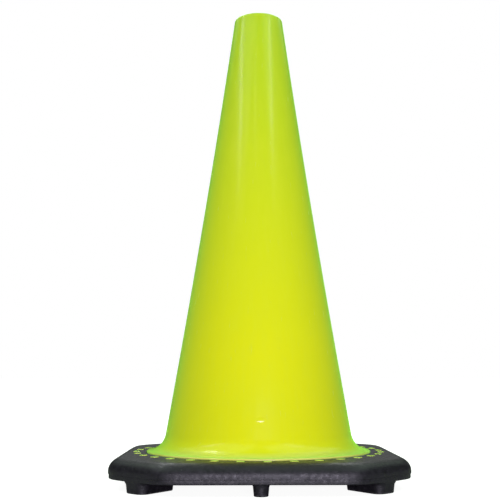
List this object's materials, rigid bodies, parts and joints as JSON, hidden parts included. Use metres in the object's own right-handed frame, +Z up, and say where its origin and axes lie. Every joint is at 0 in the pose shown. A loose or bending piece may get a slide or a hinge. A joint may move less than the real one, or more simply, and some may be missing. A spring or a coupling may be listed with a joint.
{
  "type": "traffic cone",
  "caption": "Plain hollow traffic cone with a flared foot, locked into a flat square base that has cut corners and stands on low feet.",
  "frame": {"origin": "on the cone's axis, on the ground under the feet", "axes": "+Z up along the cone's axis, the front is -Y, +X to the right seen from the front"},
  "size_m": [0.2666, 0.2666, 0.457],
  "materials": {
    "lime_pvc": "fluorescent lime flexible PVC, smooth, soft gloss",
    "black_pvc": "near-black recycled PVC, matte, faintly mottled"
  },
  "bodies": {
    "root": {"cone_sleeve": "lime_pvc", "weighted_base": "black_pvc", "corner_foot_front_left": "black_pvc", "corner_foot_front_right": "black_pvc", "corner_foot_rear_left": "black_pvc", "corner_foot_rear_right": "black_pvc", "side_foot_front": "black_pvc", "side_foot_right": "black_pvc", "side_foot_rear": "black_pvc", "side_foot_left": "black_pvc"}
  },
  "joints": []
}
